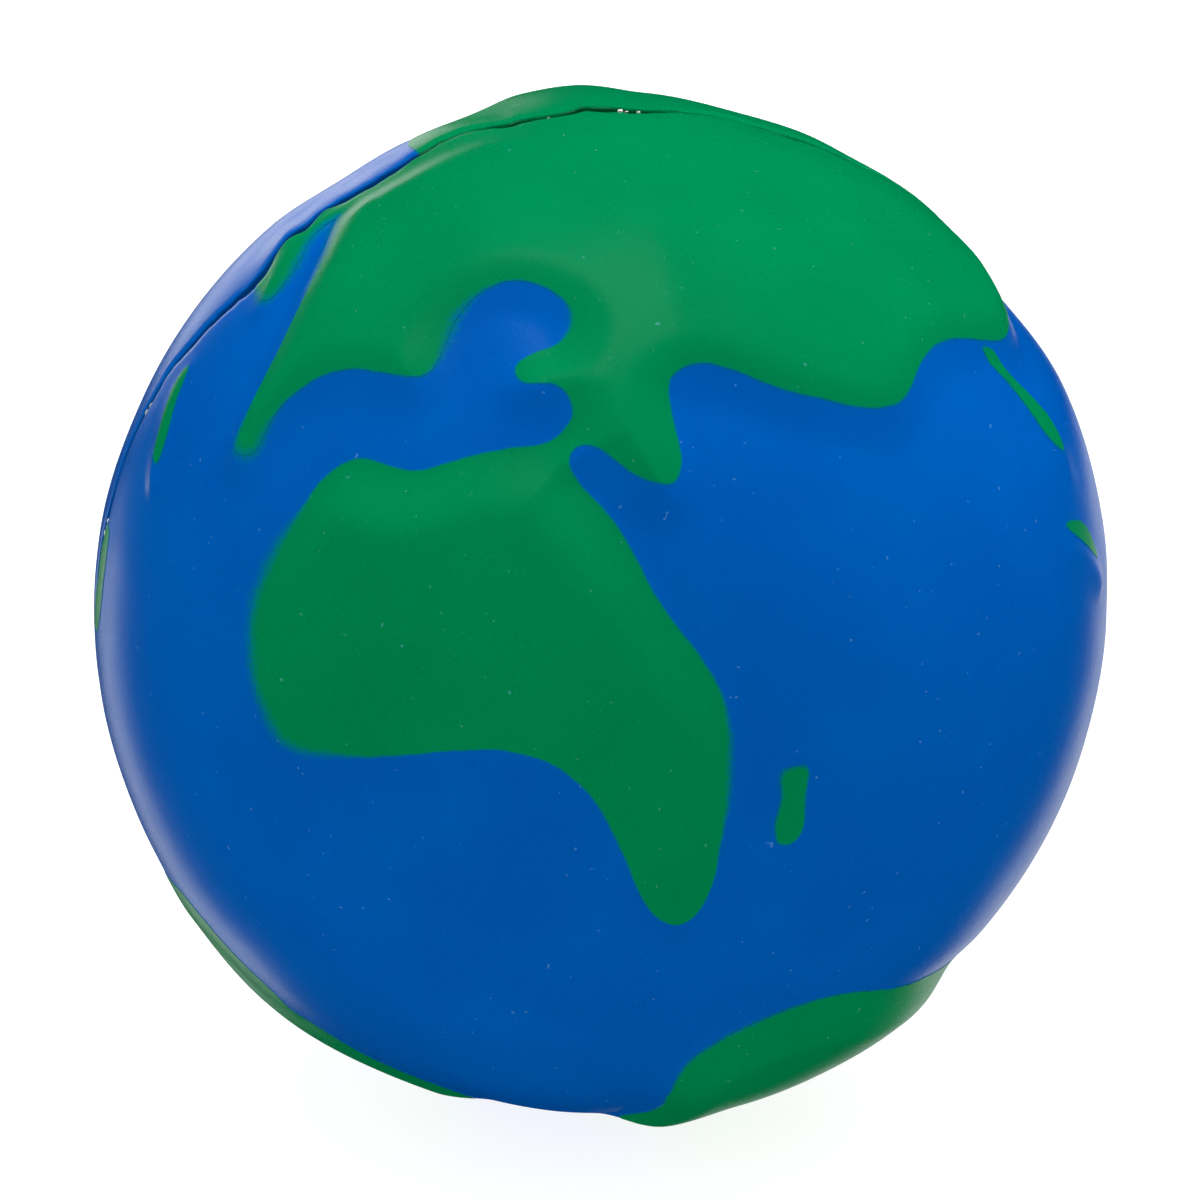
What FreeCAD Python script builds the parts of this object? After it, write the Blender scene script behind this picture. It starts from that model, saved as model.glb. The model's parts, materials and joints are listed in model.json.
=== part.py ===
import FreeCAD, Part
import math
import os

# A squeezable foam globe. It is moulded in a two-part mould, so it is built as two halves that meet at
# a parting plane: front half on -Y, rear half on +Y. Origin at the centre of the ball, +Z up,
# millimetres. The lands are thin raised pads on the sea surface, each a piece of its own.

Vector = FreeCAD.Vector
doc = FreeCAD.newDocument("FoamGlobe")

# ---------------------------------------------------------------- driving sizes

SIZES = [
    ("sea_radius", 33.8, "centre of the ball to the sea surface"),
    ("land_height", 1.2, "how far the lands stand above the sea"),
    ("skin_thickness", 1.6, "dense outer skin of the foam"),
    ("seam_width", 0.6, "web of skin left where the mould halves meet"),
    ("seam_height", 0.15, "how far that web stands above the sea"),
    ("pole_lean", 19.0, "degrees, north pole leans to -X in the parting plane"),
    ("pole_back", 12.0, "degrees, north pole lies behind the parting plane"),
    ("front_meridian", 35.0, "degrees of longitude that faces the front"),
]

sheet = doc.addObject("Spreadsheet::Sheet", "Sizes")
for row, (name, value, meaning) in enumerate(SIZES, start=1):
    sheet.set("A%d" % row, name)
    sheet.set("B%d" % row, str(value))
    sheet.set("C%d" % row, meaning)
    sheet.setAlias("B%d" % row, name)
doc.recompute()

CORE = "(Sizes.sea_radius - Sizes.skin_thickness)"
SEA = "Sizes.sea_radius"
LAND = "(Sizes.sea_radius + Sizes.land_height)"
WEB = "(Sizes.sea_radius + Sizes.seam_height)"

# ---------------------------------------------------------------- map directions

lean = math.radians(sheet.pole_lean)
back = math.radians(sheet.pole_back)
north = Vector(-math.sin(lean) * math.cos(back), math.sin(back), math.cos(lean) * math.cos(back))
front = Vector(0, -1, 0)
front_equator = (front - north * front.dot(north)).normalize()
east_equator = north.cross(front_equator)


def direction(longitude, latitude):
    """Unit vector from the centre of the ball to a place on the map."""
    turn = math.radians(longitude - sheet.front_meridian)
    rise = math.radians(latitude)
    level = front_equator * math.cos(turn) + east_equator * math.sin(turn)
    return level * math.cos(rise) + north * math.sin(rise)


# ---------------------------------------------------------------- building helpers

# The spheres' own poles lie in two open seas, so that no coast passes over them.
SPHERE_TURN = FreeCAD.Rotation(Vector(0, 0, 1), direction(65, -10))


def sphere(name, radius):
    ball = doc.addObject("Part::Sphere", name)
    ball.setExpression("Radius", radius)
    ball.Placement.Rotation = SPHERE_TURN
    return ball


def cut(name, base, tool):
    piece = doc.addObject("Part::Cut", name)
    piece.Base = base
    piece.Tool = tool
    return piece


def common(name, base, tool):
    piece = doc.addObject("Part::Common", name)
    piece.Base = base
    piece.Tool = tool
    return piece


def block(name, low_y, depth):
    """A box that reaches past the ball in X and Z and fills the stated band of Y."""
    box = doc.addObject("Part::Box", name)
    box.setExpression("Length", "4 * " + SEA)
    box.setExpression("Height", "4 * " + SEA)
    box.setExpression("Width", depth)
    box.setExpression("Placement.Base.x", "-2 * " + SEA)
    box.setExpression("Placement.Base.y", low_y)
    box.setExpression("Placement.Base.z", "-2 * " + SEA)
    return box


def disc(name, radius):
    """A disc on the parting plane, as thick as the web of skin."""
    plate = doc.addObject("Part::Cylinder", name)
    plate.setExpression("Radius", radius)
    plate.setExpression("Height", "Sizes.seam_width")
    plate.Placement.Rotation = FreeCAD.Rotation(Vector(1, 0, 0), -90)
    plate.setExpression("Placement.Base.y", "-Sizes.seam_width / 2")
    return plate


def wire_object(name, edges):
    wire = doc.addObject("Part::Feature", name)
    wire.Shape = Part.Wire(edges)
    return wire


def projected(places, centre, distance):
    """Places on the map, each moved along its ray to a flat plane that faces the centre of the ball."""
    axis = direction(*centre)
    return [direction(*place) * (distance / direction(*place).dot(axis)) for place in places]


def mainland_wire(name, stretches, centre, distance):
    """Stretches of smooth coast, joined end to end and back to the start by straight borders.

    A straight border lies in a flat plane through the centre of the ball, so the lands on its two
    sides share it exactly.
    """
    runs = [projected(places, centre, distance) for places in stretches]
    edges = []
    for run, following in zip(runs, runs[1:] + runs[:1]):
        if len(run) > 1:
            shore = Part.BSplineCurve()
            shore.interpolate(run)
            edges.append(shore.toShape())
        edges.append(Part.makeLine(run[-1], following[0]))
    return wire_object(name, edges)


def island_wire(name, coast, centre, distance):
    """One smooth closed coast."""
    shore = Part.BSplineCurve()
    shore.interpolate(Points=projected(coast, centre, distance), PeriodicFlag=True)
    return wire_object(name, [shore.toShape()])


def land(name, half, coast, centre, make=island_wire):
    """Raised land: a cone from the centre of the ball through the coast, kept between sea and land level."""
    near = make(name + "_inner_coast", coast, centre, 0.25 * sheet.sea_radius)
    far = make(name + "_outer_coast", coast, centre, 1.2 * (sheet.sea_radius + sheet.land_height))
    cone = doc.addObject("Part::Loft", name + "_cone")
    cone.Sections = [near, far]
    cone.Solid = True
    cone.Ruled = True
    return keep(common(name, half, cone), name)


nodes = []


def keep(piece, label):
    """Lists a finished sub-part under the name that its file gets."""
    piece.Label = label
    nodes.append(piece)
    return piece


# ---------------------------------------------------------------- foam body

keep(sphere("core_ball", CORE), "foam_core")

skin_shell = cut("skin_shell", sphere("sea_ball", SEA), sphere("skin_inside", CORE))
land_shell = cut("land_shell", sphere("land_ball", LAND), sphere("land_inside", SEA))

front_block = block("front_block", "-4 * " + SEA + " - Sizes.seam_width / 2", "4 * " + SEA)
rear_block = block("rear_block", "Sizes.seam_width / 2", "4 * " + SEA)

keep(common("front_skin_shell", skin_shell, front_block), "front_skin")
keep(common("rear_skin_shell", skin_shell, rear_block), "rear_skin")
keep(cut("web_ring", disc("web_disc", WEB), disc("web_hole", CORE)), "parting_line_web")

front_zone = common("front_land_zone", land_shell, front_block)
rear_zone = common("rear_land_zone", land_shell, rear_block)

# ---------------------------------------------------------------- lands of the front half
# Coasts are (longitude, latitude) in degrees. A coast that runs past the parting plane is trimmed
# there, so its points beyond the plane only lead the line across it.

# Borders between lands: Africa meets Asia at a narrow neck, Asia meets Europe along a straight line
# from the inland sea to the far north, and the western isles join Europe in the far north. The channel
# between them ends just in front of the parting plane, however far back the pole lies.

NECK_SOUTH = (35.3, 26.8)
NECK_NORTH = (35.3, 29.5)
INLAND_SEA_EAST = (42.5, 42.5)
FAR_NORTH_EAST = (60, 84)
CHANNEL_HEAD = (-7, 82.5 - sheet.pole_back)
FAR_NORTH_WEST = (-15, 84)

land("europe", front_zone, [
    [INLAND_SEA_EAST, (40.5, 46), (35, 48.5), (30, 48), (26, 46), (22.5, 42.5), (20.5, 41), (13, 43),
     (5, 44.5), (-0.5, 43.5), (-5, 41), (-9, 37.7), (-11.5, 39), (-11, 42), (-6, 50), (-2.5, 58),
     (-3.5, 66), CHANNEL_HEAD],
    [FAR_NORTH_WEST],
    [FAR_NORTH_EAST],
], (15, 55), mainland_wire)

land("western_isles", front_zone, [
    [CHANNEL_HEAD, (-11, 68), (-11, 62), (-15, 58), (-21, 59.5), (-30, 66), (-32, 80)],
    [FAR_NORTH_WEST],
], (-12, 65), mainland_wire)

land("asia", front_zone, [
    [FAR_NORTH_EAST],
    [(100, 78), (125, 50), (121, 25), (109, 18.5), (101, 15.5), (94, 17), (90, 18.5),
     (83, 19.5), (78.5, 18), (74.5, 16.5), (70.5, 17), (65, 20.5), (60.5, 24), (56.5, 28),
     (52.5, 30.2), (49.5, 29.7), (48, 27.5), (46.7, 23), (45.5, 20.5), (43.5, 19.3), (40.7, 21),
     (38.7, 24.3), (37, 26.3), NECK_SOUTH],
    [NECK_NORTH, (37, 31.5), (36, 34), (32.3, 36), (32, 37.5), (35, 39), (39.5, 39.2), (41.7, 40.5),
     INLAND_SEA_EAST],
], (75, 45), mainland_wire)

land("africa", front_zone, [
    [NECK_NORTH, (32.5, 28.8), (29.3, 29.4), (23, 30.3), (15.5, 31), (11.5, 33), (8.3, 34.2),
     (4.5, 33.7), (0, 30.7), (-5, 26.7), (-8.5, 22), (-10, 16.7), (-9.8, 11.3), (-8, 7), (-3.7, 4.7),
     (2, 3), (11, 1.3), (17.3, -0.7), (21.5, -4.2), (23.3, -8), (24, -14), (24, -20.8), (25, -25),
     (28, -26.2), (31, -24.3), (34.6, -19), (38, -12), (40, -5), (39.4, 1.6), (37.7, 7.4), (37, 13),
     (36, 18.6), (34.4, 23), (33.9, 25.5), NECK_SOUTH],
], (20, 5), mainland_wire)

land("madagascar", front_zone, [
    (44.6, -14), (46.6, -14.9), (45.2, -18.2), (43.2, -22.2), (41, -22.1), (41, -20), (43, -16),
], (43.5, -18))

land("malay_peninsula", front_zone, [
    (93.4, 16.2), (94.5, 12.5), (96.2, 8), (97.9, 2.9), (100, 1.5), (100.8, 3.8), (99, 9), (96.4, 13.8),
    (94.4, 16.2),
], (97, 9))

land("sumatra", front_zone, [
    (94.3, -5.3), (98, -6.2), (101.8, -9), (103, -11.8), (100.4, -10.4), (97, -7.8),
], (98.7, -8.3))

land("greenland", front_zone, [
    (-31.6, 38.8), (-31.4, 41.5), (-32.1, 44.5), (-33.1, 47.7), (-34.6, 50.8), (-36.2, 49.8),
    (-36.6, 47), (-35.8, 44.2), (-34.5, 41.6), (-33, 39.5),
], (-34, 45))

land("newfoundland", front_zone, [
    (-45.5, 30), (-46, 25), (-48.5, 20.5), (-56, 18), (-62, 24), (-56, 31), (-49, 32),
], (-53, 25))

land("brazil", front_zone, [
    (-57, -10.5), (-50, -10), (-45.5, -11.8), (-43.3, -15.5), (-42.1, -21), (-42, -26.5), (-43.8, -29.8),
    (-41.8, -32), (-40.6, -38.5), (-39, -45), (-38.4, -49.5), (-43, -53), (-58, -54), (-75, -45),
    (-75, -15),
], (-50, -25))

ANTARCTICA = [
    (-17, -65.5), (-1, -63), (7, -58.5), (19, -50.5), (31, -48), (43, -49), (60, -56), (75, -60),
    (100, -63), (130, -66), (160, -70), (195, -76), (230, -74), (265, -72), (290, -66), (305, -68),
    (325, -74),
]
land("antarctica_front", front_zone, ANTARCTICA, (0, -90))

# ---------------------------------------------------------------- lands of the rear half

land("siberia", rear_zone, [
    (30, 74), (24, 81), (10, 85.5), (-100, 88.5), (-170, 86), (178, 80), (185, 73), (188, 65.5), (177, 61),
    (165, 57), (158, 52),
    (148, 58), (138, 53), (131, 43), (123, 37), (121, 28), (112, 19), (95, 22), (80, 50),
], (120, 55))

land("japan", rear_zone, [
    (140, 31), (145, 33), (150, 37), (154, 43.5), (150, 45.5), (147, 39), (142, 35),
], (146, 38))

land("philippines", rear_zone, [
    (134, 17), (138, 15), (141, 8), (137.5, 7), (135, 12),
], (137, 12))

land("new_guinea", rear_zone, [
    (137, -1), (145, -1.5), (152, -5), (157, -9.5), (149, -9), (142, -6),
], (147, -5))

land("australia", rear_zone, [
    (136, -22), (142, -18), (148, -14.5), (154, -16), (158, -13.5), (163, -20), (168, -27), (166, -35),
    (158, -37), (150, -33), (142, -34), (137, -31),
], (152, -25))

land("new_zealand", rear_zone, [
    (182, -35), (188, -38), (183, -43), (177, -47.5), (175, -45.5), (181, -40.5),
], (181, -41))

land("north_america", rear_zone, [
    (192, 64), (205, 68), (230, 68), (245, 65.5), (256, 61), (264, 56), (270, 50), (275, 43), (280, 37),
    (284, 31), (282, 26), (277, 26), (272, 29), (264, 28), (261, 22), (268, 18), (274, 13), (280, 10),
    (276, 8), (268, 12), (256, 18), (248, 25), (243, 32), (236, 39), (234, 47), (226, 54), (212, 58),
    (200, 57), (193, 60),
], (255, 42))

land("south_america", rear_zone, [
    (282, 8), (288, 5.5), (290.5, -2), (295, -8), (303, -10.5), (311, -10), (320, -12), (324, -18),
    (316, -27), (306, -36), (296, -43), (292, -52), (286, -53), (286, -40), (287, -20), (281, -8),
    (279, -1),
], (298, -18))

land("antarctica_rear", rear_zone, ANTARCTICA, (0, -90))

# ---------------------------------------------------------------- check and write

doc.recompute()
for item in doc.Objects:
    if "Invalid" in item.State or "Error" in item.State:
        raise RuntimeError("%s did not build: %s" % (item.Name, item.State))
for piece in nodes:
    if piece.Shape.isNull() or not piece.Shape.isValid() or len(piece.Shape.Solids) != 1:
        raise RuntimeError("%s is not one sound solid (%d)" % (piece.Label, len(piece.Shape.Solids)))

os.makedirs("parts", exist_ok=True)
for piece in nodes:
    piece.Shape.exportStep("parts/%s.step" % piece.Label)
    print("%-20s %9.1f mm3" % (piece.Label, piece.Shape.Volume))
print(len(nodes), "sub-parts")
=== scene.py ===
import json
import math

import bpy
import numpy as np
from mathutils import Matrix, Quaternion, Vector, noise
from mathutils.bvhtree import BVHTree
from mathutils.kdtree import KDTree


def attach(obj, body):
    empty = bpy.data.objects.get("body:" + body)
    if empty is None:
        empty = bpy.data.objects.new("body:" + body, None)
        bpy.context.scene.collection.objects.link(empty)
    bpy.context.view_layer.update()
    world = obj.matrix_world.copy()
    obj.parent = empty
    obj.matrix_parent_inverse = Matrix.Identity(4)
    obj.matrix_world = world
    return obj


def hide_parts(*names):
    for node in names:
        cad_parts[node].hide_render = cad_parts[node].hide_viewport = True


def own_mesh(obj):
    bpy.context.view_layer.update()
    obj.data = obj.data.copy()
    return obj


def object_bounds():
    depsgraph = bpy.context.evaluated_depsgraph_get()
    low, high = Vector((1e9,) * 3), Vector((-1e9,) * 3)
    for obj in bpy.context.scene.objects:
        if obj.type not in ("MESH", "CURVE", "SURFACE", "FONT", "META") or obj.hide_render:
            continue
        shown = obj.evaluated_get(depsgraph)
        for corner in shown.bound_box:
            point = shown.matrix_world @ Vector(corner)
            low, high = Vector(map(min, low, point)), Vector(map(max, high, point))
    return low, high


# A squeezable foam globe, moulded in two halves and sprayed blue and green. The surface is worked out in
# millimetres from the centre of the ball and written to the meshes in metres. Front is -Y, up is +Z.

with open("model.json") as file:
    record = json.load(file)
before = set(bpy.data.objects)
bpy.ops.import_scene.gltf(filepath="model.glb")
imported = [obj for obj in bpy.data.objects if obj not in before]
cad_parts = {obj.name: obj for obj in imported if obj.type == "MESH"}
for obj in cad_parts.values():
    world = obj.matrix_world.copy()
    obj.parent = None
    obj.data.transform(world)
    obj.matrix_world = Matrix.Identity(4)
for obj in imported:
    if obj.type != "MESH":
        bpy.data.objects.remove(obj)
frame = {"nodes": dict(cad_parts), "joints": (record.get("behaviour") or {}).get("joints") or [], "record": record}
cad_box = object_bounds()

MM = 0.001
scene = bpy.context.scene

# ---------------------------------------------------------------- camera

CAMERA_AZIMUTH = math.radians(-11)
CAMERA_ELEVATION = math.radians(20)
CAMERA_DISTANCE = 0.42
HALF_VIEW = 0.0965

towards_camera = Vector((
    math.sin(CAMERA_AZIMUTH) * math.cos(CAMERA_ELEVATION),
    -math.cos(CAMERA_AZIMUTH) * math.cos(CAMERA_ELEVATION),
    math.sin(CAMERA_ELEVATION),
))
lens = bpy.data.cameras.new("camera")
lens.sensor_width = 36
lens.lens = lens.sensor_width / 2 / HALF_VIEW
lens.shift_x = -1 / 1200
lens.shift_y = 4 / 1200
lens.clip_start = 0.01
lens.clip_end = 20
camera = bpy.data.objects.new("camera", lens)
camera.location = towards_camera * CAMERA_DISTANCE
camera.rotation_mode = "QUATERNION"
camera.rotation_quaternion = (-towards_camera).to_track_quat("-Z", "Y")
scene.collection.objects.link(camera)
scene.camera = camera
scene.view_settings.view_transform = "Standard"

# ---------------------------------------------------------------- sizes from the frame


def node_points(name):
    """A CAD node's vertices, in millimetres."""
    vertices = frame["nodes"][name].data.vertices
    points = np.empty(len(vertices) * 3)
    vertices.foreach_get("co", points)
    return points.reshape(-1, 3) / MM


def outer_radius(name):
    return float(np.linalg.norm(node_points(name), axis=1).max())


SEA = outer_radius("front_skin")
LAND = outer_radius("africa")
CORE = outer_radius("foam_core")
WEB_HALF = float(node_points("parting_line_web")[:, 1].max())

# ---------------------------------------------------------------- places on the map

# The map that the lands are drawn on: its pole leans to the left and lies a little behind the parting line.
POLE_LEAN = math.radians(19)
POLE_BACK = math.radians(12)
FRONT_MERIDIAN = 35

north = np.array([
    -math.sin(POLE_LEAN) * math.cos(POLE_BACK),
    math.sin(POLE_BACK),
    math.cos(POLE_LEAN) * math.cos(POLE_BACK),
])
equator_front = np.array([0, -1, 0]) + north * north[1]
equator_front /= np.linalg.norm(equator_front)
equator_east = np.cross(north, equator_front)


def place(longitude, latitude):
    """Unit vector from the centre of the ball to a place on its map."""
    turn = math.radians(longitude - FRONT_MERIDIAN)
    rise = math.radians(latitude)
    level = equator_front * math.cos(turn) + equator_east * math.sin(turn)
    return level * math.cos(rise) + north * math.sin(rise)


def unit(vectors):
    return vectors / np.linalg.norm(vectors, axis=-1, keepdims=True)


def smoothstep(low, high, values):
    t = np.clip((values - low) / (high - low), 0, 1)
    return t * t * (3 - 2 * t)


# ---------------------------------------------------------------- coasts

SAMPLE_STEP = 0.08  # between coast points
STRAIGHT_REACH = 0.6 * SAMPLE_STEP  # how far from a coast point the coast counts as straight
CLOSE_TO_COAST = 0.25  # nearer than this, the side of the coast is told from the coast itself
BORDER_REACH = 0.09  # coasts nearer than this to another land are a border with it
BORDER_SAMPLES = 12  # shorter borders are left out
FACE_TOLERANCE = 0.02  # how far below the land radius an outer face may dip
RIM_CLEARANCE = 0.02  # edges this close to the web run along the seam and are no coast
PLANE_CLEARANCE = 0.06  # places are looked up at least this far from the web
CENTRE = Vector((0, 0, 0))


def land_face(name):
    """The outer face of a CAD land: merged points, and triangles that look outwards."""
    mesh = frame["nodes"][name].data
    mesh.calc_loop_triangles()
    corners = np.array([triangle.vertices[:] for triangle in mesh.loop_triangles])
    points = node_points(name)
    _, first, merged = np.unique(
        np.round(points, 3), axis=0, return_index=True, return_inverse=True
    )
    points, corners = points[first], merged.ravel()[corners]
    outside = np.linalg.norm(points, axis=1) > LAND - FACE_TOLERANCE
    corners = corners[outside[corners].all(axis=1)]
    distinct = (corners != np.roll(corners, 1, axis=1)).all(axis=1)
    return points, corners[distinct]


def outline(corners):
    """Edges that only one triangle has, in that triangle's direction."""
    edges = set()
    for triangle in corners.tolist():
        for start, end in zip(triangle, triangle[1:] + triangle[:1]):
            if (end, start) in edges:
                edges.remove((end, start))
            else:
                edges.add((start, end))
    return sorted(edges)


def tree_of(points):
    tree = KDTree(len(points))
    for index, point in enumerate(points):
        tree.insert(point, index)
    tree.balance()
    return tree


def coast_samples(points, edges):
    """Closely spaced coast points, each with the direction that points inland."""
    rows = []
    for start, end in edges:
        a, b = points[start], points[end]
        if max(abs(a[1]), abs(b[1])) < WEB_HALF + RIM_CLEARANCE:
            continue
        length = np.linalg.norm(b - a)
        inland = np.cross(unit(a), (b - a) / length)
        steps = max(1, int(math.ceil(length / SAMPLE_STEP)))
        for step in range(steps):
            spot = a + (b - a) * (step + 0.5) / steps
            rows.append((*spot, *inland))
    return np.array(rows)


class Shore:
    """The coasts of the lands of one mould half, and the borders between its lands."""

    def __init__(self, lands, side):
        self.side = side
        self.lands = lands
        self.labels = []
        faces, points_so_far, sampled = [], [], {}
        for land in lands:
            points, corners = land_face(land)
            faces += (corners + sum(map(len, points_so_far))).tolist()
            self.labels += [land] * len(corners)
            points_so_far.append(points)
            sampled[land] = coast_samples(points, outline(corners))
        self.bvh = BVHTree.FromPolygons(np.vstack(points_so_far).tolist(), faces)
        self.borders = {}
        self.coast = self._open_coast(sampled)
        self.tree = tree_of(self.coast[:, :3])

    def _open_coast(self, sampled):
        """Coast points that face the sea. Those that two lands share are kept as borders."""
        trees = {land: tree_of(samples[:, :3]) for land, samples in sampled.items()}
        coasts = []
        for land, samples in sampled.items():
            at_sea = np.ones(len(samples), bool)
            for other in self.lands:
                if other == land:
                    continue
                near = np.array([trees[other].find(p)[2] < BORDER_REACH for p in samples[:, :3]])
                if near.sum() <= BORDER_SAMPLES:
                    continue
                at_sea &= ~near
                if (other, land) not in self.borders:
                    self.borders[(land, other)] = samples[near][:, :3]
            coasts.append(samples[at_sea])
        return np.vstack(coasts)

    def clamped(self, directions):
        """Directions moved to this half's own side of the parting plane."""
        held = directions.copy()
        limit = (WEB_HALF + PLANE_CLEARANCE) / LAND
        if self.side < 0:
            held[:, 1] = np.minimum(held[:, 1], -limit)
        else:
            held[:, 1] = np.maximum(held[:, 1], limit)
        return unit(held)

    def land_at(self, directions):
        """Name of the land under each direction, or None."""
        names = []
        for direction in self.clamped(directions):
            index = self.bvh.ray_cast(CENTRE, Vector(direction))[2]
            names.append(None if index is None else self.labels[index])
        return names

    def inland(self, directions):
        """How far each direction lies inland (+) or out at sea (-), in millimetres."""
        held = self.clamped(directions)
        found = np.empty(len(held))
        for row, direction in enumerate(held):
            spot = direction * LAND
            _, index, distance = self.tree.find(spot)
            sample = self.coast[index]
            offset = spot - sample[:3]
            across = float(offset @ sample[3:])
            along = distance * distance - across * across
            if along < STRAIGHT_REACH ** 2:
                found[row] = across
            elif distance > CLOSE_TO_COAST:
                hit = self.bvh.ray_cast(CENTRE, Vector(direction))[2]
                found[row] = distance if hit is not None else -distance
            else:
                found[row] = math.copysign(distance, across)
        return found


bodies = frame["record"]["behaviour"]["bodies"]
FRONT_BODY = "front_half"
REAR_BODY = "rear_half"
NOT_LAND = {"front_skin", "rear_skin", "foam_core", "parting_line_web"}
shores = {
    -1: Shore([n for n in bodies[FRONT_BODY] if n not in NOT_LAND], -1),
    1: Shore([n for n in bodies[REAR_BODY] if n not in NOT_LAND], 1),
}

# ---------------------------------------------------------------- parting line
# Ring angles go from +X towards +Z. The line wanders across the parting plane and its lips are ragged.

RIM_STEPS = 1024
ring_angles = np.arange(RIM_STEPS) * 2 * math.pi / RIM_STEPS

WANDER = [
    # ring angle in degrees, millimetres that the line lies behind the parting plane
    (-40, 0.0), (20, 0.3), (56, 0.0), (66, 0.5), (75.6, 1.7), (80.5, 0.75), (88, -1.1), (94, -0.7),
    (99.5, 0.3), (105, 2.3), (111, 0.75), (116, 0.35), (122, 1.2), (126.5, -0.2), (133, -1.2), (143, 0.3),
    (150, 2.0), (157, 3.0), (168, 1.4), (173, 1.4), (180, 2.2), (192, 2.2), (215, 0.8), (250, -0.3),
    (285, 0.3), (320, 0.0),
]


def eased(angles, stops):
    """Values read from (degrees, value) stops, eased in and out of each stop."""
    degrees = (np.degrees(angles) + 40) % 360 - 40
    found = np.zeros(len(angles))
    for (start, first), (end, last) in zip(stops, stops[1:]):
        inside = (degrees >= start) & (degrees < end)
        found[inside] = first + (last - first) * smoothstep(start, end, degrees[inside])
    return found


def wobble(angles, wavelength, seed):
    """Smooth random values from -1 to 1 round the ring, with about the given wavelength in mm."""
    cells = max(4, int(round(2 * math.pi * LAND / wavelength)))
    values = np.random.RandomState(seed).uniform(-1, 1, cells)
    position = (angles / (2 * math.pi)) % 1 * cells
    cell = np.floor(position).astype(int)
    t = position - cell
    t = t * t * (3 - 2 * t)
    return values[cell % cells] * (1 - t) + values[(cell + 1) % cells] * t


# Ring angle in degrees, share of the full raggedness.
RAGGED = [(-40, 0.35), (40, 0.4), (62, 1.0), (125, 1.0), (150, 0.6), (200, 0.45), (320, 0.35)]


JAGS = [(0.30, 3.4), (0.16, 1.3), (0.12, 0.6)]


def jags(angles, seed):
    """Torn edge, in millimetres. JAGS gives the height and the wavelength of each size of tear."""
    rough = sum(
        height * wobble(angles, wavelength, seed + k) for k, (height, wavelength) in enumerate(JAGS)
    )
    return rough * eased(angles, RAGGED)


GROOVE = [
    # ring angle in degrees, width in millimetres
    (-40, 0.3), (60, 0.3), (67, 0.5), (74, 0.55), (78, 0.14), (84, 0.14), (88, 0.6), (96, 0.6), (104, 0.9),
    (113, 0.85), (125, 0.75), (136, 0.55), (150, 0.36), (200, 0.3), (320, 0.3),
]


GROOVE_UNEVEN = 0.25


def gap(angles):
    """Width of the groove between the two lips."""
    uneven = 1 + GROOVE_UNEVEN * wobble(angles, 5.0, 41) + GROOVE_UNEVEN * wobble(angles, 1.1, 42)
    return eased(angles, GROOVE) * uneven


def seam_line(angles):
    """The smooth line that both lips follow, in millimetres behind the parting plane."""
    return eased(angles, WANDER)


OWN_JAGS = 0.35


def lip(angles, side):
    """What one half's lip adds to the seam line: tears that both share, tears of its own, half the gap."""
    return jags(angles, 11) + OWN_JAGS * jags(angles, 21 + side) + side * gap(angles) / 2


# ---------------------------------------------------------------- surface of the moulding

OUT_OF_ROUND = [
    # ring angle in degrees, millimetres by which the ball is fuller (+) or flatter (-) there
    (-40, 0.0), (-15, 0.1), (0, 0.3), (10, 0.5), (25, 0.65), (38, 0.1), (50, -0.15), (62, -0.5),
    (72, -0.75), (82, -0.55), (90, -0.05), (99, -0.25), (110, 0.0), (120, -0.35), (130, 0.0), (155, 0.05),
    (170, 0.3), (195, 0.45), (212, 0.65), (230, 0.62), (242, 0.5), (250, 0.5), (262, 0.7), (272, 0.7),
    (282, 0.0), (297, -0.2), (310, -0.45), (320, 0.0),
]
ROUND_REACH = 38  # degrees from the parting plane over which the unevenness fades
SLOPE_OUT, SLOPE_IN = 1.7, 3.3  # how far a land's slope reaches out to sea and inland
PAINT_HIGH = 1.9  # how far above its relief the green is sprayed on the front
MEET_WIDTH = 5.0  # band beside the seam in which both halves come to one height
LIP_WIDTH, LIP_DROP = 0.24, 0.16  # round-over of the lip
LIP_STEEPEST = 0.985  # share of the round-over that is used, so that it never turns under
PINCH_WIDTH, PINCH_DROP = 1.1, 0.07  # shallow dip that the mould's edge presses beside the lip
UNEVEN_WIDTH = 0.9  # band beside the lip whose height is uneven
CROWDING, CROWDING_POWER = 0.075, 12  # how the rings of points close up towards the lip
RAGGED_FROM = 0.9  # share of the rings beyond which they follow the ragged lip

LOW_LANDS = [
    # longitude, latitude, reach in mm, share of the height kept
    (43.5, -18, 5, 0.25), (98, 5, 7, 0.3), (99, -8.5, 5, 0.3), (-38, 48, 6, 0.3), (-16, 62, 4, 0.6),
    (10, 86, 9, 0.3), (-52, 25, 8, 0.1), (-47, -14, 9, 0.15), (-38, -28, 9, 0.2), (-33, -44, 9, 0.3),
]


def relief(directions, side):
    """Height above the sea, before the seam is pressed in. On the front it lies lower than the green."""
    lift = PAINT_HIGH / LAND * smoothstep(0.02, 0.3, -directions[:, 1])
    shifted = unit(directions + lift[:, None] * np.array([0, 0, 1]))
    rise = smoothstep(-SLOPE_OUT, SLOPE_IN, shores[side].inland(shifted))
    for longitude, latitude, reach, kept in LOW_LANDS:
        away = np.arccos(np.clip(directions @ place(longitude, latitude), -1, 1)) * LAND
        rise *= 1 - (1 - kept) * np.exp(-((away / reach) ** 4))
    return (LAND - SEA) * rise


def lumps(directions):
    """The ball is not quite round: it is fuller or flatter near its parting line."""
    ring = np.arctan2(directions[:, 2], directions[:, 0])
    away = np.degrees(np.arcsin(np.clip(directions[:, 1], -1, 1)))
    return eased(ring, OUT_OF_ROUND) * np.exp(-((away / ROUND_REACH) ** 2))


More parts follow.
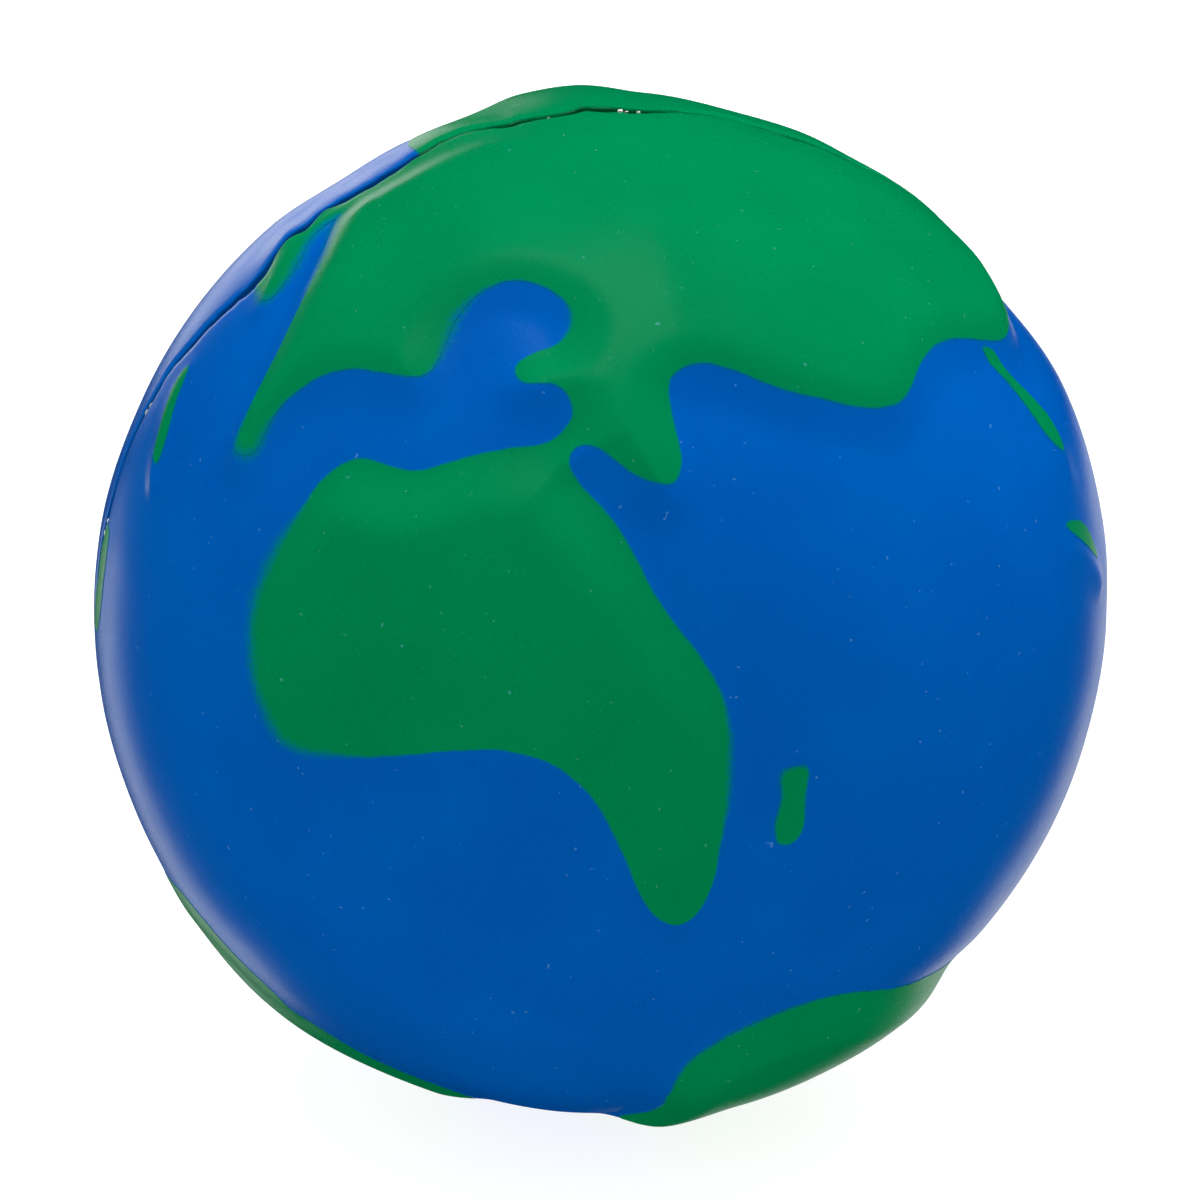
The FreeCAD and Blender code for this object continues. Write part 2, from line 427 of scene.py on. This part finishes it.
def ring_directions(angles, alpha, side):
    """Unit vectors at a ring angle, and at an angle alpha from the middle of one half."""
    return np.stack([
        np.cos(angles) * np.sin(alpha),
        side * np.cos(alpha),
        np.sin(angles) * np.sin(alpha),
    ], axis=-1)


at_plane = ring_directions(ring_angles, np.full(RIM_STEPS, math.pi / 2), 1)
seam_relief = (relief(at_plane, -1) + relief(at_plane, 1)) / 2


def seam_height(angles):
    """Relief that both halves share at the parting line."""
    round_once = np.append(ring_angles, 2 * math.pi)
    return np.interp(angles % (2 * math.pi), round_once, np.append(seam_relief, seam_relief[0]))


SOFT_PLACES = [
    # longitude, latitude, reach in mm, width of the soft edge in mm
    (-10, 17, 7, 0.95), (-9, 8, 4, 0.5), (-10, 38, 3, 0.6), (25, 46, 2.6, 0.7), (-3.3, 70, 4.5, 1.0),
    (-1.6, 62, 3, 0.5), (-17.6, 58.8, 2.4, 0.6), (38.6, -11, 4, 0.35), (30, -48, 6, 0.25), (45, 40, 2, 0.3),
    (-6, 26, 3, 0.5),
]
CRISP = 0.13


def softness(directions):
    """Half the width of the sprayed edge, in millimetres."""
    width = np.full(len(directions), CRISP)
    for longitude, latitude, reach, soft in SOFT_PLACES:
        away = np.arccos(np.clip(directions @ place(longitude, latitude), -1, 1)) * LAND
        width += soft * np.exp(-((away / reach) ** 2))
    return width


def paint_wobble(directions):
    """How far the sprayed edge strays from the coast, in millimetres."""
    return np.array([
        0.10 * noise.noise(Vector(d) * LAND * 0.45) + 0.05 * noise.noise(Vector(d) * LAND * 1.4)
        for d in directions
    ])


class Half:
    """The surface of one mould half, as rings of points from its middle to its lip."""

    def __init__(self, side, rings):
        self.side = side
        across = np.arange(-rings, rings + 1)
        a, b = np.meshgrid(across, across, indexing="ij")
        ring = np.maximum(abs(a), abs(b))
        self.angle = self._angles(a, b, ring)
        self._lay_out((ring / rings).ravel())
        self.point = self.direction * self._radius()[:, None]
        self.coast = shores[side].inland(self.direction) + paint_wobble(self.direction)
        self.soft = softness(self.direction)
        self.corners = self._triangles(a, b)
        outer = np.flatnonzero(ring.ravel() == rings)
        self.rim = outer[np.argsort(self.angle[outer])]

    @staticmethod
    def _angles(a, b, ring):
        """Ring angle of each place of a square grid, whose square rings become round ones."""
        quarter = math.pi / 4
        angle = np.where(
            abs(a) >= abs(b),
            np.where(a > 0, 0, math.pi) + quarter * b / np.where(a == 0, 1, a),
            np.where(b > 0, math.pi / 2, 3 * math.pi / 2) - quarter * a / np.where(b == 0, 1, b),
        )
        return np.where(ring == 0, 0, angle).ravel() % (2 * math.pi)

    def _lay_out(self, share):
        """Spreads the rings out to the ragged lip. share is 0 at the middle and 1 at the lip."""
        spread = share * (1 + CROWDING) - CROWDING * share ** CROWDING_POWER
        smooth_rim = math.pi / 2 - self.side * seam_line(self.angle) / LAND
        ragged = -self.side * lip(self.angle, self.side) / LAND
        alpha = spread * smooth_rim + smoothstep(RAGGED_FROM, 1.0, share) * ragged
        self.direction = ring_directions(self.angle, alpha, self.side)
        self.from_lip = (smooth_rim + ragged - alpha) * LAND

    def _radius(self):
        """Distance of each point from the centre: sea, lands, the lip's round-over and its uneven edge."""
        side, angle, from_lip = self.side, self.angle, self.from_lip
        meet = 1 - smoothstep(0, MEET_WIDTH, from_lip)
        height = relief(self.direction, side) * (1 - meet) + seam_height(angle) * meet
        edge = np.clip(1 - from_lip / LIP_WIDTH, 0, 1)
        roll = LIP_DROP * (1 - np.sqrt(1 - np.minimum(edge, LIP_STEEPEST) ** 2))
        pinch = PINCH_DROP * (1 - smoothstep(0, PINCH_WIDTH, from_lip)) ** 1.5
        uneven = 0.10 * wobble(angle, 6, 61 + side) + 0.06 * wobble(angle, 1.7, 71 + side)
        uneven *= (1 - smoothstep(0, UNEVEN_WIDTH, from_lip)) * eased(angle, RAGGED)
        return SEA + lumps(self.direction) + height - roll - pinch + uneven

    def _triangles(self, a, b):
        """Two triangles for each square of the grid, split along the diagonal that runs outwards."""
        index = np.arange(a.size).reshape(a.shape)
        p, q, r, s = index[:-1, :-1], index[1:, :-1], index[1:, 1:], index[:-1, 1:]
        tilt = (a[:-1, :-1] + 0.5) * (b[:-1, :-1] + 0.5) > 0
        one = np.where(tilt[..., None], np.stack([p, q, r], -1), np.stack([p, q, s], -1))
        two = np.where(tilt[..., None], np.stack([p, r, s], -1), np.stack([q, r, s], -1))
        corners = np.concatenate([one.reshape(-1, 3), two.reshape(-1, 3)])
        return corners if self.side < 0 else corners[:, ::-1]

    def table(self):
        """One row for each point: place, inland distance, soft edge width, distance from the lip."""
        return np.column_stack([self.point, self.coast, self.soft, self.from_lip])


COAST, SOFT, FROM_LIP = 3, 4, 5  # columns of the table, after the place
NEAREST_CUT = 0.04


def cut_apart(rows, values, corners):
    """Cuts triangles along the line where values are zero. Gives the rows and each side's triangles."""
    inside = values > 0
    count = inside[corners].sum(axis=1)
    kept = {True: corners[count == 3].tolist(), False: corners[count == 0].tolist()}
    added, new_rows = {}, []

    def crossing(i, j):
        key = (min(i, j), max(i, j))
        if key not in added:
            low, high = key
            t = values[low] / (values[low] - values[high])
            t = min(max(t, NEAREST_CUT), 1 - NEAREST_CUT)
            added[key] = len(rows) + len(new_rows)
            new_rows.append(rows[low] * (1 - t) + rows[high] * t)
        return added[key]

    for triangle in corners[(count == 1) | (count == 2)].tolist():
        lone_side = sum(inside[i] for i in triangle) == 1
        k = next(k for k in range(3) if bool(inside[triangle[k]]) == lone_side)
        a, b, c = triangle[k], triangle[(k + 1) % 3], triangle[(k + 2) % 3]
        ab, ca = crossing(a, b), crossing(c, a)
        kept[lone_side].append([a, ab, ca])
        kept[not lone_side] += [[ab, b, c], [ab, c, ca]]
    rows = np.vstack([rows, new_rows]) if new_rows else rows
    return rows, np.array(kept[True], int).reshape(-1, 3), np.array(kept[False], int).reshape(-1, 3)


# ---------------------------------------------------------------- meshes


def piece(name, points, faces, material, attributes=None, sharp=42):
    """A mesh object from points in millimetres."""
    mesh = bpy.data.meshes.new(name)
    mesh.from_pydata((np.asarray(points) * MM).tolist(), [], [list(map(int, face)) for face in faces])
    mesh.validate()
    for label, values in (attributes or {}).items():
        layer = mesh.attributes.new(label, "FLOAT", "POINT")
        layer.data.foreach_set("value", np.asarray(values, np.float32))
    mesh.polygons.foreach_set("use_smooth", [True] * len(mesh.polygons))
    mesh.set_sharp_from_angle(angle=math.radians(sharp))
    mesh.update()
    made = bpy.data.objects.new(name, mesh)
    made.data.materials.append(material)
    scene.collection.objects.link(made)
    return made


squeeze = next(j for j in frame["joints"] if j["name"] == "squeeze")
KEEP = 1 - max(squeeze["range_m"]) / (2 * LAND * MM)


def goes_with(made, side, slot_name, *nodes):
    """Rides with one half, and stands for its CAD nodes, which it hides."""
    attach(made, FRONT_BODY if side < 0 else REAR_BODY)
    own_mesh(made)
    if nodes:
        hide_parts(*nodes)
    return made


INSIDE_RINGS = 9
INSIDE_COAST = -9.0  # inland distance given to the inside, which is all bare of green
COAT = 0.035  # thickness of the green coat
LAND_DEPTH = 0.45  # how far a land's underside is sunk in the skin
AT_LIP, OVER_LIP = 0.004, 0.03  # a land that reaches the lip laps over it
BORDER_BAND = 1.2  # triangles this near a border are cut along it


def skin(name, half, material):
    """Closed shell of one half: outer surface, lip wall, and a coarser inside on the core."""
    rim_direction = unit(half.point[half.rim])
    rim_alpha = np.arccos(np.clip(rim_direction[:, 1] * half.side, -1, 1))
    rim_angle = half.angle[half.rim]
    rim_count = len(half.rim)
    steps = [(k, (k + 1) % rim_count) for k in range(rim_count)]
    points, inside_faces = [half.point], []
    previous = half.rim.tolist()
    start = len(half.point)
    for level in range(INSIDE_RINGS):
        alpha = rim_alpha * (1 - level / INSIDE_RINGS)
        points.append(ring_directions(rim_angle, alpha, half.side) * CORE)
        current = list(range(start, start + rim_count))
        inside_faces += [[previous[k], previous[n], current[n], current[k]] for k, n in steps]
        previous = current
        start += rim_count
    points.append(np.array([[0, half.side * CORE, 0]]))
    inside_faces += [[previous[k], previous[n], start] for k, n in steps]
    if half.side < 0:
        inside_faces = [face[::-1] for face in inside_faces]
    inside_count = start + 1 - len(half.point)
    attributes = {
        "coast": np.concatenate([half.coast, np.full(inside_count, INSIDE_COAST)]),
        "soft": np.concatenate([half.soft, np.full(inside_count, CRISP)]),
        "from_lip": np.concatenate([half.from_lip, np.zeros(inside_count)]),
    }
    return piece(name, np.vstack(points), half.corners.tolist() + inside_faces, material, attributes)


def land_pad(name, rows, corners, side, material):
    """A land as a thin closed pad: its top a coat proud of the skin, its underside sunk in the skin."""
    used, packed = np.unique(corners, return_inverse=True)
    corners = packed.reshape(-1, 3)
    rows = rows[used]
    point = rows[:, :3].copy()
    point[rows[:, FROM_LIP] < AT_LIP, 1] -= side * OVER_LIP
    outward = unit(point)
    count = len(point)
    points = np.vstack([point + outward * COAT, point - outward * LAND_DEPTH])
    faces = corners.tolist() + (corners[:, ::-1] + count).tolist()
    for start, end in outline(corners):
        faces.append([start, start + count, end + count, end])
    attributes = {
        "coast": np.tile(rows[:, COAST], 2),
        "soft": np.tile(rows[:, SOFT], 2),
        "from_lip": np.tile(rows[:, FROM_LIP], 2),
    }
    return piece(name, points, faces, material, attributes)


def middles_of(rows, corners):
    return rows[corners][:, :, :3].mean(axis=1)


def triangle_lands(shore, middles):
    """The land of each triangle: the one that it lies on, or else the nearest."""
    names = shore.land_at(unit(middles))
    trees = {
        land: tree_of(np.array([m for m, n in zip(middles, names) if n == land]))
        for land in shore.lands if land in names
    }
    return np.array([
        name or min(trees, key=lambda land: trees[land].find(middle)[2])
        for name, middle in zip(names, middles)
    ])


def cut_border(rows, corners, names, one, other, samples):
    """Cuts the triangles near the border of two lands in two, along the plane through that border."""
    middles = middles_of(rows, corners)
    across = unit(np.linalg.svd(samples)[2][2])
    if np.mean(middles[names == one] @ across) < 0:
        across = -across
    near_border = tree_of(samples)
    pair = np.flatnonzero((names == one) | (names == other))
    close = np.array([k for k in pair if near_border.find(middles[k])[2] < BORDER_BAND], int)
    rows, ours, theirs = cut_apart(rows, rows[:, :3] @ across, corners[close])
    rest = np.ones(len(corners), bool)
    rest[close] = False
    corners = np.vstack([corners[rest], ours, theirs])
    names = np.concatenate([names[rest], [one] * len(ours), [other] * len(theirs)])
    return rows, corners, names


def land_pads(half, material):
    """Every land of one half, cut from the half's surface along the coasts and the borders."""
    shore = shores[half.side]
    rows, corners, _ = cut_apart(half.table(), half.coast, half.corners)
    names = triangle_lands(shore, middles_of(rows, corners))
    for (one, other), samples in shore.borders.items():
        rows, corners, names = cut_border(rows, corners, names, one, other, samples)
    for land in shore.lands:
        mine = corners[names == land]
        if len(mine) == 0:
            raise RuntimeError("no surface left for " + land)
        made = land_pad(land + "_land", rows, mine, half.side, material)
        goes_with(made, half.side, "land_green", land)


# ---------------------------------------------------------------- finishes


class Value:
    """A number that varies over a surface. Python operators on it add Math nodes."""

    def __init__(self, finish, socket):
        self.finish = finish
        self.socket = socket

    def _math(self, operation, *values):
        return self.finish.node("ShaderNodeMath", {"operation": operation}, dict(enumerate(values)))

    def __add__(self, other):
        return self._math("ADD", self, other)

    __radd__ = __add__

    def __mul__(self, other):
        return self._math("MULTIPLY", self, other)

    __rmul__ = __mul__

    def __sub__(self, other):
        return self._math("SUBTRACT", self, other)

    def __rsub__(self, other):
        return self._math("SUBTRACT", other, self)

    def __truediv__(self, other):
        return self._math("DIVIDE", self, other)

    def __rtruediv__(self, other):
        return self._math("DIVIDE", other, self)


class Finish:
    """One material. node() adds any node to it."""

    def __init__(self, name):
        self.material = bpy.data.materials.new(name)
        self.material.use_nodes = True
        self.tree = self.material.node_tree
        self.tree.nodes.clear()

    def node(self, kind, settings=None, inputs=None, output=0):
        made = self.tree.nodes.new(kind)
        for key, value in (settings or {}).items():
            setattr(made, key, value)
        for key, value in (inputs or {}).items():
            if isinstance(value, Value):
                self.tree.links.new(value.socket, made.inputs[key])
            else:
                made.inputs[key].default_value = value
        return Value(self, made.outputs[output]) if len(made.outputs) else made

    def number(self, name):
        """A number stored on the mesh's points."""
        return self.node("ShaderNodeAttribute", {"attribute_name": name}, output="Fac")

    def mix(self, factor, first, second, blend="MIX"):
        """Colours mixed by a factor."""
        return self.node(
            "ShaderNodeMix", {"data_type": "RGBA", "blend_type": blend, "clamp_factor": True},
            {0: factor, 6: first, 7: second}, 2,
        )

    def ramp(self, value, low, high, to_low=0.0, to_high=1.0):
        """value eased from low..high to to_low..to_high."""
        return self.node(
            "ShaderNodeMapRange", {"interpolation_type": "SMOOTHSTEP"},
            {"Value": value, "From Min": low, "From Max": high, "To Min": to_low, "To Max": to_high},
        )

    def places(self):
        """Where each point lies on the piece."""
        return self.node("ShaderNodeTexCoord", output="Object")

    def grain(self, size, detail=2.0, roughness=0.5):
        """Noise whose lumps are about size millimetres across."""
        return self.node(
            "ShaderNodeTexNoise", {},
            {"Vector": self.places(), "Scale": 1 / (size * MM), "Detail": detail, "Roughness": roughness},
        )

    def bump(self, height, distance, strength=1.0):
        """Surface normals for a height that varies over the surface, distance millimetres deep."""
        inputs = {"Strength": strength, "Distance": distance * MM, "Height": height}
        return self.node("ShaderNodeBump", {}, inputs)

    def coat(self, **inputs):
        """The finished material, from the shader's inputs."""
        shader = self.node(
            "ShaderNodeBsdfPrincipled", {}, {key.replace("_", " "): value for key, value in inputs.items()}
        )
        self.node("ShaderNodeOutputMaterial", {}, {"Surface": shader})
        return self.material


def colour(red, green, blue):
    """Linear colour from the usual 0 to 255 values."""

    def linear(value):
        value /= 255
        return value / 12.92 if value <= 0.04045 else ((value + 0.055) / 1.055) ** 2.4

    return (linear(red), linear(green), linear(blue), 1)


SEA_BLUE = colour(0, 79, 157)
SEA_BLUE_DEEP = colour(0, 75, 153)
LAND_GREEN = colour(0, 115, 66)
LAND_GREEN_DEEP = colour(0, 111, 63)
SPECK_BLUE = colour(120, 176, 214)
FOAM = colour(205, 206, 190)
FOAM_SHADE = colour(176, 168, 146)
FOAM_WARM = colour(232, 226, 210)
# Painted shade: the web's coat colours, darkened for the shaded groove.
SHADED_WEB_BLUE = colour(0, 24, 60)
SHADED_WEB_GREEN = colour(0, 34, 20)
GRIME = (0.55, 0.6, 0.6, 1)
# Painted shade: darkens the coat on the lip's round-over and the groove wall.
LIP_SHADE = (0.2, 0.32, 0.34, 1)


def sprayed(finish):
    """Blue base coat with green sprayed over it through a mask: colour with its soft and crisp edges, and painted
    shade darkening it towards the lip.
    """
    coast, soft = finish.number("coast"), finish.number("soft")
    stipple = finish.grain(0.22, 1.0) - 0.5
    blotch = finish.grain(2.4, 3.0) - 0.5
    reach = (coast + (stipple * 1.5 + blotch * 0.9) * (soft - 0.08)) / soft
    cover = finish.ramp(reach, -1.0, 1.0)
    patch = finish.ramp(finish.grain(9.0, 3.0), 0.3, 0.7)
    blue = finish.mix(patch, SEA_BLUE, SEA_BLUE_DEEP)
    green = finish.mix(patch, LAND_GREEN, LAND_GREEN_DEEP)
    painted = finish.mix(cover, blue, green)
    speck = finish.ramp(finish.grain(0.36, 0.0), 0.82, 0.88, 0.0, 0.16)
    painted = finish.mix(speck, painted, SPECK_BLUE)
    fine = finish.ramp(finish.grain(0.3, 2.0), 0.25, 0.75)
    painted = finish.mix(fine * 0.12, painted, finish.mix(1.0, painted, GRIME, "MULTIPLY"))
    # Towards the lip the coat is multiplied by LIP_SHADE: painted shade of the groove and the lip's round-over,
    # not wear.
    painted_lip_shade = finish.ramp(finish.number("from_lip"), 0.0, 0.22, 0.7, 0.0)
    return finish.mix(painted_lip_shade, painted, finish.mix(1.0, painted, LIP_SHADE, "MULTIPLY"))


def skin_bump(finish):
    """Fine pebbled grain of moulded foam skin under a sprayed coat."""
    fine = finish.grain(0.28, 2.0, 0.6)
    broad = finish.grain(1.6, 2.0)
    return finish.bump(fine * 0.7 + broad * 0.3, 0.05, 0.4)


def make_coat(name, roughness):
    """Satin sprayed coat on moulded foam skin."""
    finish = Finish(name)
    patch = finish.grain(3.0, 3.0)
    return finish.coat(
        Base_Color=sprayed(finish),
        Roughness=patch * 0.10 + (roughness - 0.05),
        Specular_IOR_Level=0.4,
        Normal=skin_bump(finish),
    )


def make_seam_finish():
    """Torn skin at the bottom of the groove, matt, with bare foam showing in spots; its blue and green are painted
    shade of the groove, far darker than the coat.
    """
    finish = Finish("seam_web")
    cover = finish.ramp(finish.number("coast"), -0.4, 0.4)
    # The web's blue and green are painted shade of the groove.
    dark = finish.mix(cover, SHADED_WEB_BLUE, SHADED_WEB_GREEN)
    bare = finish.ramp(finish.grain(0.5, 3.0, 0.7), 0.60, 0.68)
    spotted = finish.mix(bare * 0.3, dark, FOAM_SHADE)
    return finish.coat(
        Base_Color=spotted,
        Roughness=bare * 0.2 + 0.6,
        Specular_IOR_Level=0.2,
        Normal=finish.bump(finish.grain(0.25, 3.0), 0.12),
    )


def make_foam(name):
    """Bare foam: small open cells, pale between them."""
    finish = Finish(name)
    cells = finish.node(
        "ShaderNodeTexVoronoi", {"feature": "F1"}, {"Vector": finish.places(), "Scale": 1 / (0.45 * MM)}
    )
    pore = finish.ramp(cells, 0.15, 0.6)
    tone = finish.mix(pore, FOAM_SHADE, FOAM)
    drift = finish.mix(finish.grain(4.0, 2.0), tone, FOAM_WARM)
    return finish.coat(
        Base_Color=drift,
        Roughness=pore * -0.1 + 0.85,
        Specular_IOR_Level=0.15,
        Normal=finish.bump(pore, 0.15),
    )


sea_finish = make_coat("sea_coat", 0.25)
land_finish = make_coat("land_coat", 0.28)
seam_finish = make_seam_finish()
foam_finish = make_foam("bare_foam")
core_finish = make_foam("foam_inside")

# ---------------------------------------------------------------- foam skins and lands

RINGS = RIM_STEPS // 8

halves = {side: Half(side, RINGS) for side in (-1, 1)}
for side, name, node in ((-1, "front_foam_skin", "front_skin"), (1, "rear_foam_skin", "rear_skin")):
    made = skin(name, halves[side], sea_finish)
    goes_with(made, side, "sea_blue", node)
    land_pads(halves[side], land_finish)

# ---------------------------------------------------------------- parting web and crumbs

WEB_PROFILE = [(-0.75, 0.3), (-0.3, 0.05), (0.0, 0.0), (0.3, 0.04), (0.75, 0.3)]
WEB_DEPTH = 0.3  # middle of the web below the lips
WEB_FOOT = CORE + 0.02  # radius of its inner edge, just clear of the core

front_rim = halves[-1].point[halves[-1].rim]
rear_rim = halves[1].point[halves[1].rim]
rim_coast = halves[-1].coast[halves[-1].rim]


def parting_seam():
    """Web of torn skin between the lips: a ring whose top lies a little under them.

    WEB_PROFILE gives the top's line across the groove: share of the groove's width, drop in millimetres.
    """
    middle = (front_rim + rear_rim) / 2
    outward = unit(middle * np.array([1, 0, 1]))
    front_to_rear = (rear_rim - front_rim)[:, 1]
    low = np.linalg.norm(middle * np.array([1, 0, 1]), axis=1)
    depth = WEB_DEPTH + 0.09 * wobble(ring_angles, 2.3, 81) + 0.07 * wobble(ring_angles, 0.7, 82)
    sections = []
    for across, drop in WEB_PROFILE:
        ragged = 0.05 * wobble(ring_angles, 0.6, 90 + int(across * 10))
        line = outward * (low - depth - drop + ragged)[:, None]
        line[:, 1] = middle[:, 1] + across * front_to_rear
        sections.append(line)
    for across in (WEB_PROFILE[-1][0], WEB_PROFILE[0][0]):
        line = outward * WEB_FOOT
        line[:, 1] = middle[:, 1] + across * front_to_rear
        sections.append(line)
    count = len(sections)
    faces = []
    for k in range(RIM_STEPS):
        n = (k + 1) % RIM_STEPS
        for s in range(count):
            t = (s + 1) % count
            faces.append([s * RIM_STEPS + k, t * RIM_STEPS + k, t * RIM_STEPS + n, s * RIM_STEPS + n])
    attributes = {"coast": np.tile(rim_coast, count)}
    return piece("parting_seam", np.vstack(sections), faces, seam_finish, attributes, 60)


goes_with(parting_seam(), 1, "bare_web", "parting_line_web")

CRUMBS = [
    # ring angle in degrees, size in millimetres
    (86.2, 0.10), (87.6, 0.08), (88.3, 0.13), (96.0, 0.07), (76.0, 0.09), (66.0, 0.08), (152.8, 0.12),
    (154.0, 0.15), (166.9, 0.13), (167.6, 0.10), (168.3, 0.15), (172.7, 0.13), (28.0, 0.09),
    (203.0, 0.10), (231.0, 0.09), (262.0, 0.10), (301.0, 0.09), (338.0, 0.09),
]


CRUMB_PLACE = 0.35  # share of the way from the rear lip to the front lip
CRUMB_LENGTH, CRUMB_WIDTH, CRUMB_HEIGHT = 1.5, 0.8, 0.7


def lump_shape():
    """Corners and faces of a small round lump: an eight-sided solid with every face divided."""
    corners = [(1, 0, 0), (-1, 0, 0), (0, 1, 0), (0, -1, 0), (0, 0, 1), (0, 0, -1)]
    faces = [(0, 2, 4), (2, 1, 4), (1, 3, 4), (3, 0, 4), (2, 0, 5), (1, 2, 5), (3, 1, 5), (0, 3, 5)]
    for _ in range(2):
        halved, finer = {}, []
        for a, b, c in faces:
            mids = []
            for i, j in ((a, b), (b, c), (c, a)):
                key = (min(i, j), max(i, j))
                if key not in halved:
                    halved[key] = len(corners)
                    corners.append(tuple(unit(np.array(corners[i]) + np.array(corners[j]))))
                mids.append(halved[key])
            ab, bc, ca = mids
            finer += [(a, ab, ca), (ab, b, bc), (ca, bc, c), (ab, bc, ca)]
        faces = finer
    return np.array(corners), faces


def foam_crumbs():
    """Flecks of bare foam that stand in the groove."""
    shape, shape_faces = lump_shape()
    points, faces = [], []
    for number, (degrees, size) in enumerate(CRUMBS):
        k = int(round(degrees / 360 * RIM_STEPS)) % RIM_STEPS
        spot = front_rim[k] * CRUMB_PLACE + rear_rim[k] * (1 - CRUMB_PLACE)
        outward = unit(spot)
        along = unit(np.cross(outward, np.array([0, 1, 0])))
        across = np.cross(along, outward)
        rough = np.array([1 + 0.35 * noise.noise(Vector(p) * 2.2 + Vector((number, 0, 0))) for p in shape])
        x, y, z = np.hsplit(shape * rough[:, None] * size, 3)
        lump = spot + x * along * CRUMB_LENGTH + y * across * CRUMB_WIDTH + z * outward * CRUMB_HEIGHT
        faces += [[i + len(points) * len(shape) for i in face] for face in shape_faces]
        points.append(lump + outward * 0.02)
    return piece("foam_crumbs", np.vstack(points), faces, foam_finish, None, 80)


goes_with(foam_crumbs(), 1, "core_foam")

# ---------------------------------------------------------------- soft core


CORE_STEPS = 26
DENT, DENT_VARIES = 0.05, 0.04  # depth of the cell surface, and how much it changes


def foam_filling():
    """The soft inside: a ball of foam with a shallow, uneven cell surface."""
    line = np.linspace(-math.pi / 4, math.pi / 4, CORE_STEPS + 1)
    u, v = np.meshgrid(np.tan(line), np.tan(line), indexing="ij")
    w = np.ones_like(u)
    sides = [(w, u, v), (-w, v, u), (v, w, u), (u, -w, v), (u, v, w), (v, u, -w)]
    points = np.vstack([np.stack(side, -1).reshape(-1, 3) for side in sides])
    grid = np.arange(u.size).reshape(u.shape)
    quads = np.stack([grid[:-1, :-1], grid[1:, :-1], grid[1:, 1:], grid[:-1, 1:]], -1).reshape(-1, 4)
    faces = np.vstack([quads + k * u.size for k in range(len(sides))])
    points = unit(points)
    _, first, merged = np.unique(np.round(points, 6), axis=0, return_index=True, return_inverse=True)
    points, faces = points[first], merged.ravel()[faces]
    dents = np.array([DENT + DENT_VARIES * noise.noise(Vector(p) * 14) for p in points])
    return piece("foam_filling", points * (CORE - dents)[:, None], faces, core_finish)


filling = goes_with(foam_filling(), 1, "core_foam", "foam_core")

# ---------------------------------------------------------------- floor and light


FLOOR_REACH = 3.0


def make_floor(name, height, material):
    """A plain square floor."""
    mesh = bpy.data.meshes.new(name)
    corners = [(x * FLOOR_REACH, y * FLOOR_REACH, height) for x, y in ((-1, -1), (1, -1), (1, 1), (-1, 1))]
    mesh.from_pydata(corners, [], [(0, 1, 2, 3)])
    mesh.materials.append(material)
    made = bpy.data.objects.new(name, mesh)
    scene.collection.objects.link(made)
    return made


def make_floor_finish():
    finish = Finish("pale_floor")
    shade = finish.mix(finish.grain(60, 2.0), (0.30, 0.30, 0.30, 1), (0.32, 0.32, 0.32, 1))
    return finish.coat(
        Base_Color=shade,
        Roughness=0.9,
        Specular_IOR_Level=0.0,
        Emission_Color=(1, 1, 1, 1),
        Emission_Strength=0.85,
    )


floor = make_floor("floor", cad_box[0][2], make_floor_finish())
floor.visible_diffuse = False
floor.visible_glossy = False
floor.visible_shadow = False

world = bpy.data.worlds.new("studio")
scene.world = world
world.use_nodes = True
world.node_tree.nodes["Background"].inputs["Color"].default_value = (0.97, 0.99, 1.0, 1)
world.node_tree.nodes["Background"].inputs["Strength"].default_value = 0.95
world.cycles_visibility.diffuse = False
world.cycles_visibility.glossy = False


def softbox(name, azimuth, elevation, distance, width, height, glow, tilt=0, diffuse=True, glossy=True):
    """A rectangular light that faces the ball. Azimuth 0 is in front and 90 at the right, tilt in degrees.

    diffuse is whether it lights the ball's colours, and glossy is whether it shows as a reflection.
    """
    a, e = math.radians(azimuth), math.radians(elevation)
    out = Vector((math.sin(a) * math.cos(e), -math.cos(a) * math.cos(e), math.sin(e)))
    light = bpy.data.lights.new(name, "AREA")
    light.shape = "RECTANGLE"
    light.size, light.size_y = width, height
    light.energy = glow * math.pi * width * height
    light.cycles.use_multiple_importance_sampling = glossy
    made = bpy.data.objects.new(name, light)
    made.location = out * distance
    made.rotation_mode = "QUATERNION"
    made.rotation_quaternion = (-out).to_track_quat("-Z", "Y") @ Quaternion((0, 0, 1), math.radians(tilt))
    made.visible_diffuse = diffuse
    made.visible_glossy = glossy
    scene.collection.objects.link(made)
    return made


TENT = 2.4
TENT_WALLS = [
    # name, azimuth, elevation, glow
    ("floor", 0, -90, 1.08), ("roof", 0, 90, 1.08), ("front", 0, 0, 1.08), ("back", 180, 0, 1.08),
    ("left", -90, 0, 1.4), ("right", 90, 0, 1.4),
]
for wall, azimuth, elevation, glow in TENT_WALLS:
    softbox("tent_" + wall, azimuth, elevation, TENT / 2, TENT, TENT, glow, glossy=False)

overhead = softbox("overhead_softbox", 140, 66, 1.2, 1.0, 1.0, 6.2, glossy=False)
overhead.data.color = (0.96, 0.98, 1.12)
softbox("overhead_sheen", 0, 88, 1.2, 0.6, 0.6, 0.5, diffuse=False)
softbox("left_strip", -158, -26, 1.2, 0.31, 0.72, 0.8, tilt=-17)
softbox("right_strip", 151, -25, 1.2, 0.62, 0.56, 0.68)
softbox("backdrop", 186, -1, 1.5, 0.55, 0.36, 1.1)
